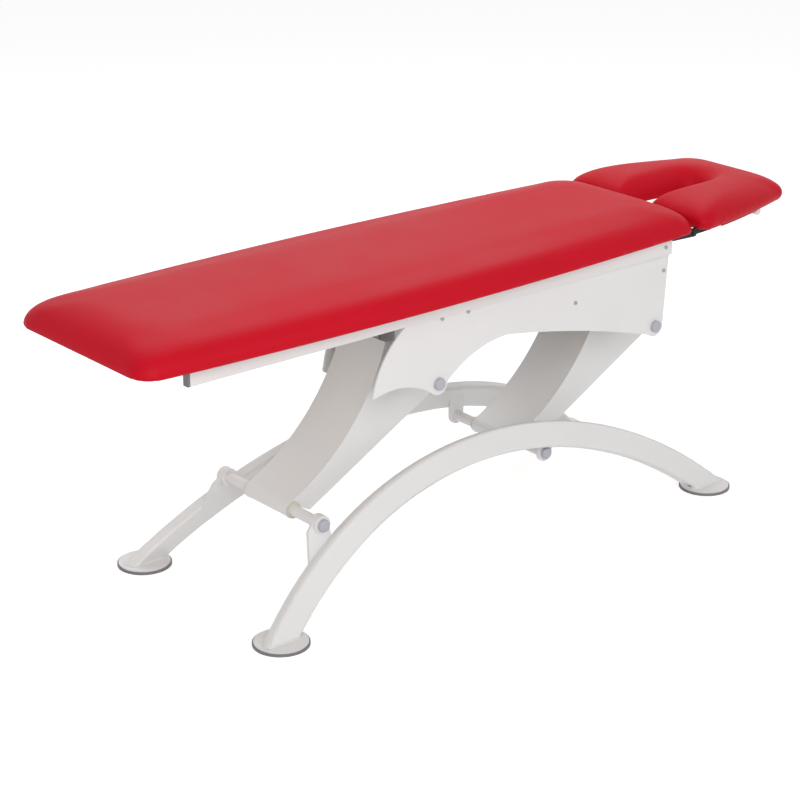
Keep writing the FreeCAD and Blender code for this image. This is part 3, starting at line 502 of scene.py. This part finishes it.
hemUnder("main", "main_board", "top_frame", ("main_hinge_bars", "head_hinge_bars"))
hemUnder("head", "head_board", "head_section", ("main_hinge_bars", "head_hinge_bars", "head_cross_tube"))
print("stage: hems and staples")


# White floor and soft studio light
def seenByCamera(tree):
    # 1 for what the camera sees straight, in a reflection or through glass
    path = addNode(tree, "LightPath")
    seen = addNode(tree, "Math", {"operation": "MAXIMUM"})
    tree.links.new(path.outputs["Is Camera Ray"], seen.inputs[0])
    tree.links.new(path.outputs["Is Glossy Ray"], seen.inputs[1])
    also = addNode(tree, "Math", {"operation": "MAXIMUM"})
    tree.links.new(seen.outputs[0], also.inputs[0])
    tree.links.new(path.outputs["Is Transmission Ray"], also.inputs[1])
    return also


def makeFloor():
    values = {"half": 12.0, "color": (0.9, 0.9, 0.9, 1), "glow": 0.46}
    mesh = bpy.data.meshes.new("studioFloor")
    h = values["half"]
    mesh.from_pydata([(-h, -h, 0), (h, -h, 0), (h, h, 0), (-h, h, 0)], [], [(0, 1, 2, 3)])
    floor = bpy.data.objects.new("studioFloor", mesh)
    scene.collection.objects.link(floor)
    material = bpy.data.materials.new("studioWhite")
    material.use_nodes = True
    shader = material.node_tree.nodes["Principled BSDF"]
    shader.inputs["Base Color"].default_value = values["color"]
    shader.inputs["Roughness"].default_value = 0.9
    shader.inputs["Specular IOR Level"].default_value = 0.0
    shader.inputs["Emission Color"].default_value = (1, 1, 1, 1)
    seen = seenByCamera(material.node_tree)
    glow = addNode(material.node_tree, "Math", {"operation": "MULTIPLY"}, {1: values["glow"]})
    material.node_tree.links.new(seen.outputs[0], glow.inputs[0])
    material.node_tree.links.new(glow.outputs[0], shader.inputs["Emission Strength"])
    mesh.materials.append(material)


lampValues = {
    "keyLamp": {"place": (-2.2, -2.6, 2.2), "target": (0, 0, 0.4), "size": (2.4, 2.0), "power": 50.0},
    "sideLamp": {"place": (0.8, -3.2, 2.0), "target": (0, 0, 0.4), "size": (2.0, 1.6), "power": 15.0},
    "topLamp": {"place": (1.2, 1.6, 3.2), "target": (0, 0, 0.6), "size": (3.0, 2.4), "power": 38.0},
}


def makeLamp(label, values):
    data = bpy.data.lights.new(label, "AREA")
    data.shape = "RECTANGLE"
    data.size, data.size_y = values["size"]
    data.energy = values["power"]
    lamp = bpy.data.objects.new(label, data)
    lamp.location = values["place"]
    lamp.rotation_mode = "QUATERNION"
    lamp.rotation_quaternion = (Vector(values["target"]) - lamp.location).to_track_quat("-Z", "Y")
    scene.collection.objects.link(lamp)


def makeWorld():
    values = {"light": 0.55, "backdrop": 1.0}
    world = bpy.data.worlds.new("studioWorld")
    scene.world = world
    world.use_nodes = True
    tree = world.node_tree
    back = tree.nodes["Background"]
    seen = seenByCamera(tree)
    strength = addNode(tree, "MapRange", None, {"To Min": values["light"], "To Max": values["backdrop"]})
    tree.links.new(seen.outputs[0], strength.inputs["Value"])
    tree.links.new(strength.outputs["Result"], back.inputs["Strength"])
    back.inputs["Color"].default_value = (1, 1, 1, 1)


def makeCamera():
    values = {"place": (-3.1487, -3.5950, 2.1513), "azimuth": -39.98, "elevation": 21.11, "lens": 99.18}
    data = bpy.data.cameras.new("photoCamera")
    data.sensor_width = 36.0
    data.lens = values["lens"]
    data.clip_end = 100.0
    camera = bpy.data.objects.new("photoCamera", data)
    a, e = math.radians(values["azimuth"]), math.radians(values["elevation"])
    back = Vector((math.sin(a) * math.cos(e), -math.cos(a) * math.cos(e), math.sin(e)))
    camera.location = values["place"]
    camera.rotation_mode = "QUATERNION"
    camera.rotation_quaternion = (-back).to_track_quat("-Z", "Y")
    scene.collection.objects.link(camera)
    scene.camera = camera


makeFloor()
for lampName, values in lampValues.items():
    makeLamp(lampName, values)
makeWorld()
makeCamera()
scene.view_settings.view_transform = "Standard"
print("stage: studio and camera")
